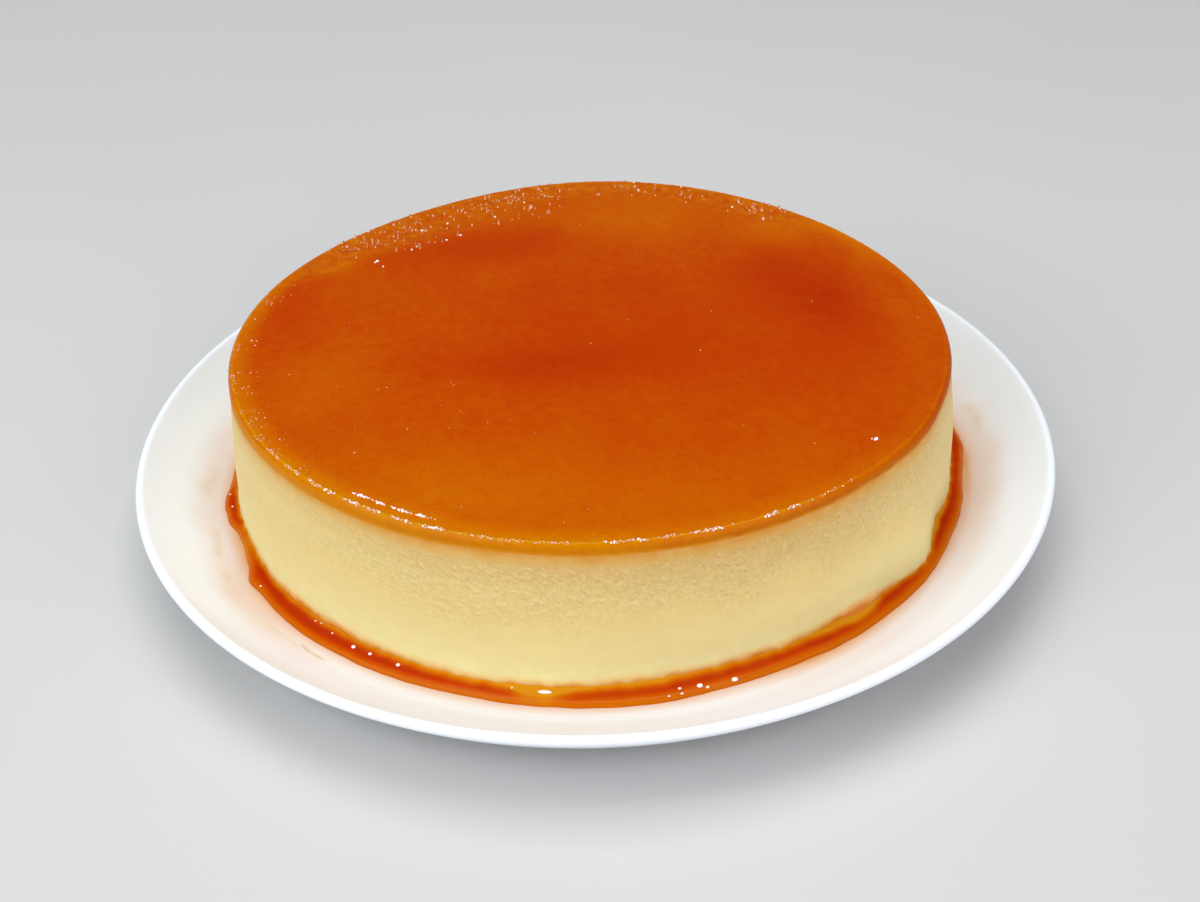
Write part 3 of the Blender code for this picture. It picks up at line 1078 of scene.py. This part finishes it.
def dome(size):
    """Points and faces of one bubble round the origin: a dome a little flatter than half a ball."""
    points = [(0.0, 0.0, DOME_HEIGHT * size)]
    for ring in range(1, DOME_RINGS + 1):
        lean = DOME_LEAN * ring / DOME_RINGS
        reach = size * math.sin(lean)
        height = DOME_HEIGHT * size * math.cos(lean)
        for side in range(DOME_SIDES):
            turn = 2 * math.pi * side / DOME_SIDES
            points.append((reach * math.cos(turn), reach * math.sin(turn), height))
    faces = []
    for side in range(DOME_SIDES):
        beside = (side + 1) % DOME_SIDES
        faces.append((0, 1 + side, 1 + beside))
        for ring in range(DOME_RINGS - 1):
            inner, outer = 1 + ring * DOME_SIDES, 1 + (ring + 1) * DOME_SIDES
            faces.append((inner + side, outer + side, outer + beside, inner + beside))
    last = 1 + (DOME_RINGS - 1) * DOME_SIDES
    faces.append(tuple(range(last, last + DOME_SIDES))[::-1])
    return np.array(points), faces


# %% Scatter the bubbles
graph = bpy.context.evaluated_depsgraph_get()
caramel_tree = BVHTree.FromObject(caramel, graph)
pool_tree = BVHTree.FromObject(pool, graph)
rng = np.random.default_rng(5)
bubble_points, bubble_faces, paleness = [], [], []


def reach_at(turn, turns, reaches):
    """The reach of an outline in one direction (radians)."""
    return np.interp(turn % (2 * math.pi), turns, reaches, period=2 * math.pi)


def add_bubble(tree, turn, reach, size, stretch, pale, sideways=False):
    """One dome on the surface that the tree holds, drawn out to the front or sideways."""
    along = np.array([math.cos(turn), math.sin(turn), 0])
    spot = reach * along
    hit = tree.ray_cast(Vector((*spot[:2], 1)), Vector((0, 0, -1)))[0]
    long_way = np.array([-along[1], along[0], 0]) if sideways else np.array([0, 1, 0])
    points, faces = dome(size)
    points = points + np.outer(points @ long_way, long_way) * (stretch - 1)
    start = len(bubble_points) * len(points)
    bubble_points.append(points + (*spot[:2], hit.z))
    paleness.extend([pale] * len(points))
    bubble_faces.extend(tuple(i + start for i in face) for face in faces)


for count, start_at, end_at, *lengths, stretch, pale in BUBBLE_GROUPS:
    near, far, small, large = (length * MM for length in lengths)
    for _ in range(count):
        degrees = rng.uniform(start_at, end_at)
        while noise.noise(Vector((degrees * CLUMPS, 0.3, near / MM))) < rng.uniform(-0.35, 0.3):
            degrees = rng.uniform(start_at, end_at)
        turn = math.radians(degrees)
        edge = reach_at(turn, top_turns, top_outline)
        inward = near + (far - near) * rng.random() ** 1.3
        size = small + (large - small) * rng.random() ** 2.5
        longer = 1 + (stretch - 1) * rng.random()
        tint = np.clip(pale + rng.uniform(-0.3, 0.3), 0, 1)
        add_bubble(caramel_tree, turn, max(edge - inward, 2 * MM), size, longer, tint)
for degrees, reach, size, wider in POOL_BUBBLES_AND_GLINTS:
    turn = math.radians(degrees)
    furthest = reach_at(turn, pool_turns, pool_reach) - 0.8 * MM
    # Pool bubbles get the palest skin: painted highlight for the glints on the syrup.
    add_bubble(pool_tree, turn, min(reach * MM, furthest), size * MM, wider, 1.0, sideways=True)
bubble_mesh = bpy.data.meshes.new("bubbles")
bubble_mesh.from_pydata(np.concatenate(bubble_points).tolist(), [], bubble_faces)
bubble_mesh.shade_smooth()
bubbles = bpy.data.objects.new("bubbles", bubble_mesh)
bpy.context.scene.collection.objects.link(bubbles)
store(bubbles, "pale", paleness)
print(f"{len(bubble_points)} bubbles, {len(bubble_faces)} faces")

# %% [markdown]
# A bubble's skin mirrors the lights through a mirror-like coat. Under it a stored shade runs
# from amber, where syrup clings to it, to nearly white, and the pale shades are painted
# highlight that stands for the glints.

# %% Bubble skin
# The pale end of these shades is painted highlight.
BUBBLE_AND_GLINT_SHADES = ((0, "c8741a"), (0.4, "d88a5c"), (0.7, "ecb8a0"), (1, "fff4ee"))
skin = Recipe("bubble_skin_and_glints", Roughness=0.1, Coat_Weight=1.0, Coat_Roughness=0.03)
skin.feed(skin.ramp(skin.stored("pale"), BUBBLE_AND_GLINT_SHADES), "Base Color")
place_piece(bubbles, "caramel", skin.material)

# %% [markdown]
# ## The floor
#
# A plain pale sheet under the plate, large enough to fill the view. It isn't part of the object.

# %% Lay the floor
FLOOR_SIDE = 6  # metres

floor = Recipe("pale_floor", Roughness=0.6)
floor.feed(floor.mix(floor.cloud(0.2, 2), (0.56, 0.555, 0.545), (0.60, 0.595, 0.585)), "Base Color")
bpy.ops.mesh.primitive_plane_add(size=FLOOR_SIDE, location=(0, 0, 0))
ground = bpy.context.object
ground.name = "floor"
ground.data.materials.append(floor.material)
print(f"floor {FLOOR_SIDE} m square")
